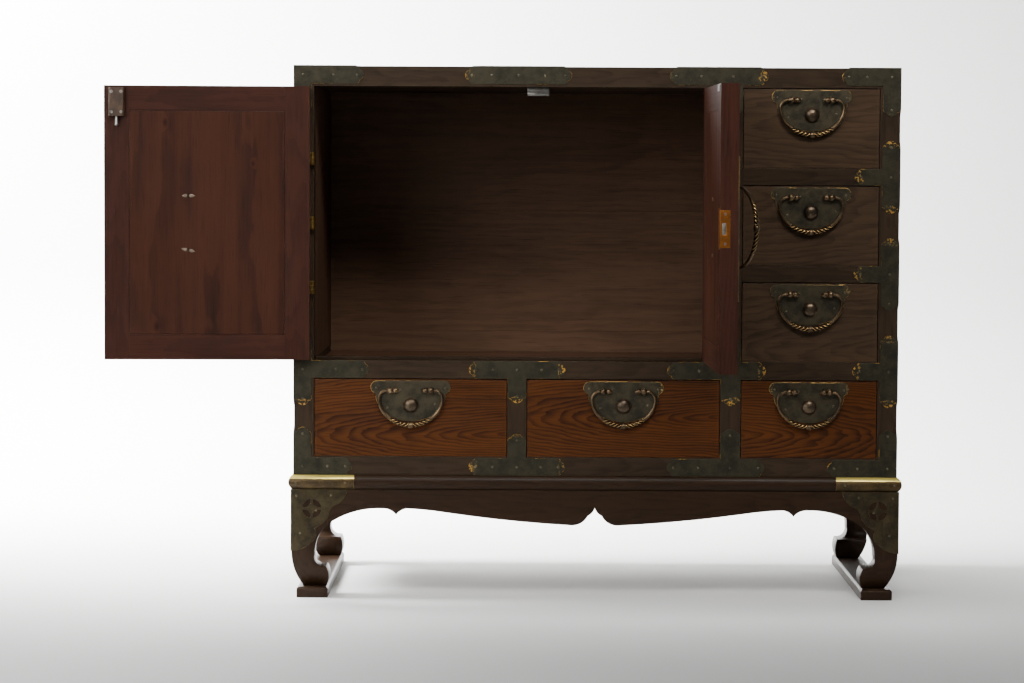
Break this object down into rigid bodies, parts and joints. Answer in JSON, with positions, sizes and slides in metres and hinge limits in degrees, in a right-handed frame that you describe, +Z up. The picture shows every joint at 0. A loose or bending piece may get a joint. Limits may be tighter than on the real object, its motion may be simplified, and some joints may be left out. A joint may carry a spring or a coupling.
{
  "type": "cabinet",
  "caption": "Low Korean cabinet on a cabriole stand: a two-door compartment beside and above drawers, with lobed metal mounts and bail pulls, for storing clothes.",
  "frame": {"origin": "on the floor, under the middle of the case's width and depth", "axes": "+X to the right along the width, +Y to the back, +Z up; the front is at -Y"},
  "size_m": [1.3171, 0.8133, 0.8832],
  "materials": {
    "frame_wood": "dark red-brown lacquer, satin",
    "board_wood": "dark stained, satin",
    "drawer_face_wood": "figured veneer, satin lacquer",
    "drawer_box_wood": "plain, unfinished",
    "door_panel_wood": "figured, satin lacquer",
    "bronze_sheet": "dark patina, worn to gold at the edges",
    "bronze_cast": "dark patina, worn at the grip",
    "bright_brass": "satin",
    "steel": "satin",
    "catch_plastic": "matt"
  },
  "bodies": {
    "case": {"top_board": "frame_wood", "corner_posts": "frame_wood", "divider_posts": "frame_wood", "front_rails": "frame_wood", "side_rails": "frame_wood", "side_panels": "board_wood", "back_boards": "board_wood", "bottom_board": "board_wood", "compartment_floor": "board_wood", "partition_wall": "board_wood", "drawer_runners": "drawer_box_wood", "door_stop": "frame_wood", "case_mounts": "bronze_sheet", "post_hinge_leaves": "bright_brass", "magnetic_catch": "catch_plastic", "stand_moulding": "frame_wood", "stand_caps": "bright_brass", "stand_legs": "frame_wood", "stand_aprons": "frame_wood", "foot_rails": "frame_wood", "leg_plates": "bronze_sheet"},
    "drawer_1": {"drawer_1_front": "drawer_face_wood", "drawer_1_box": "drawer_box_wood", "drawer_1_plate": "bronze_sheet"},
    "drawer_1_bail": {"drawer_1_bail": "bronze_cast"},
    "drawer_2": {"drawer_2_front": "drawer_face_wood", "drawer_2_box": "drawer_box_wood", "drawer_2_plate": "bronze_sheet"},
    "drawer_2_bail": {"drawer_2_bail": "bronze_cast"},
    "drawer_3": {"drawer_3_front": "drawer_face_wood", "drawer_3_box": "drawer_box_wood", "drawer_3_plate": "bronze_sheet"},
    "drawer_3_bail": {"drawer_3_bail": "bronze_cast"},
    "drawer_4": {"drawer_4_front": "drawer_face_wood", "drawer_4_box": "drawer_box_wood", "drawer_4_plate": "bronze_sheet"},
    "drawer_4_bail": {"drawer_4_bail": "bronze_cast"},
    "drawer_5": {"drawer_5_front": "drawer_face_wood", "drawer_5_box": "drawer_box_wood", "drawer_5_plate": "bronze_sheet"},
    "drawer_5_bail": {"drawer_5_bail": "bronze_cast"},
    "drawer_6": {"drawer_6_front": "drawer_face_wood", "drawer_6_box": "drawer_box_wood", "drawer_6_plate": "bronze_sheet"},
    "drawer_6_bail": {"drawer_6_bail": "bronze_cast"},
    "left_door": {"left_door_frame": "frame_wood", "left_door_panel": "door_panel_wood", "left_door_plate": "bronze_sheet", "left_door_hinges": "bright_brass", "left_door_bolt_case": "bright_brass"},
    "left_door_bail": {"left_door_bail": "bronze_cast"},
    "right_door": {"right_door_frame": "frame_wood", "right_door_panel": "door_panel_wood", "right_door_plate": "bronze_sheet", "right_door_hinges": "bright_brass", "right_door_lock_case": "bright_brass", "right_door_strike": "steel"},
    "right_door_bail": {"right_door_bail": "bronze_cast"},
    "left_door_bolt": {"left_door_bolt_pin": "steel"},
    "right_door_lock_bolt": {"right_door_lock_bolt": "steel"}
  },
  "joints": [
    {"name": "drawer_1_slide", "type": "slide", "parent": "case", "child": "drawer_1", "axis": [0, -1, 0], "range_m": [0, 0.25]},
    {"name": "drawer_1_bail_hinge", "type": "hinge", "parent": "drawer_1", "child": "drawer_1_bail", "pos_m": [0.354, -0.2365, 0.8293], "axis": [-1, 0, 0], "range_deg": [0, 100]},
    {"name": "drawer_2_slide", "type": "slide", "parent": "case", "child": "drawer_2", "axis": [0, -1, 0], "range_m": [0, 0.25]},
    {"name": "drawer_2_bail_hinge", "type": "hinge", "parent": "drawer_2", "child": "drawer_2_bail", "pos_m": [0.354, -0.2365, 0.66897], "axis": [-1, 0, 0], "range_deg": [0, 100]},
    {"name": "drawer_3_slide", "type": "slide", "parent": "case", "child": "drawer_3", "axis": [0, -1, 0], "range_m": [0, 0.25]},
    {"name": "drawer_3_bail_hinge", "type": "hinge", "parent": "drawer_3", "child": "drawer_3_bail", "pos_m": [0.354, -0.2365, 0.50863], "axis": [-1, 0, 0], "range_deg": [0, 100]},
    {"name": "drawer_4_slide", "type": "slide", "parent": "case", "child": "drawer_4", "axis": [0, -1, 0], "range_m": [0, 0.25]},
    {"name": "drawer_4_bail_hinge", "type": "hinge", "parent": "drawer_4", "child": "drawer_4_bail", "pos_m": [0.354, -0.2365, 0.3463], "axis": [-1, 0, 0], "range_deg": [0, 100]},
    {"name": "drawer_5_slide", "type": "slide", "parent": "case", "child": "drawer_5", "axis": [0, -1, 0], "range_m": [0, 0.25]},
    {"name": "drawer_5_bail_hinge", "type": "hinge", "parent": "drawer_5", "child": "drawer_5_bail", "pos_m": [-0.3065, -0.2365, 0.3463], "axis": [-1, 0, 0], "range_deg": [0, 100]},
    {"name": "drawer_6_slide", "type": "slide", "parent": "case", "child": "drawer_6", "axis": [0, -1, 0], "range_m": [0, 0.25]},
    {"name": "drawer_6_bail_hinge", "type": "hinge", "parent": "drawer_6", "child": "drawer_6_bail", "pos_m": [0.0465, -0.2365, 0.3463], "axis": [-1, 0, 0], "range_deg": [0, 100]},
    {"name": "left_door_hinge", "type": "hinge", "parent": "case", "child": "left_door", "pos_m": [-0.46975, -0.2358, 0.62275], "axis": [0, 0, 1], "range_deg": [-3, 177]},
    {"name": "right_door_hinge", "type": "hinge", "parent": "case", "child": "right_door", "pos_m": [0.20975, -0.2358, 0.62275], "axis": [0, 0, -1], "range_deg": [-70, 91]},
    {"name": "left_door_bail_hinge", "type": "hinge", "parent": "left_door", "child": "left_door_bail", "pos_m": [-0.67154, -0.24517, 0.62275], "axis": [0, 0, -1], "range_deg": [-24, 76]},
    {"name": "right_door_bail_hinge", "type": "hinge", "parent": "right_door", "child": "right_door_bail", "pos_m": [0.21447, -0.43775, 0.62275], "axis": [0, 0, 1], "range_deg": [-24, 76]},
    {"name": "left_door_bolt_slide", "type": "slide", "parent": "left_door", "child": "left_door_bolt", "axis": [0, 0, 1], "range_m": [0, 0.012]},
    {"name": "right_door_lock_slide", "type": "slide", "parent": "right_door", "child": "right_door_lock_bolt", "axis": [0.0175, -0.9998, 0], "range_m": [0, 0.008]}
  ]
}
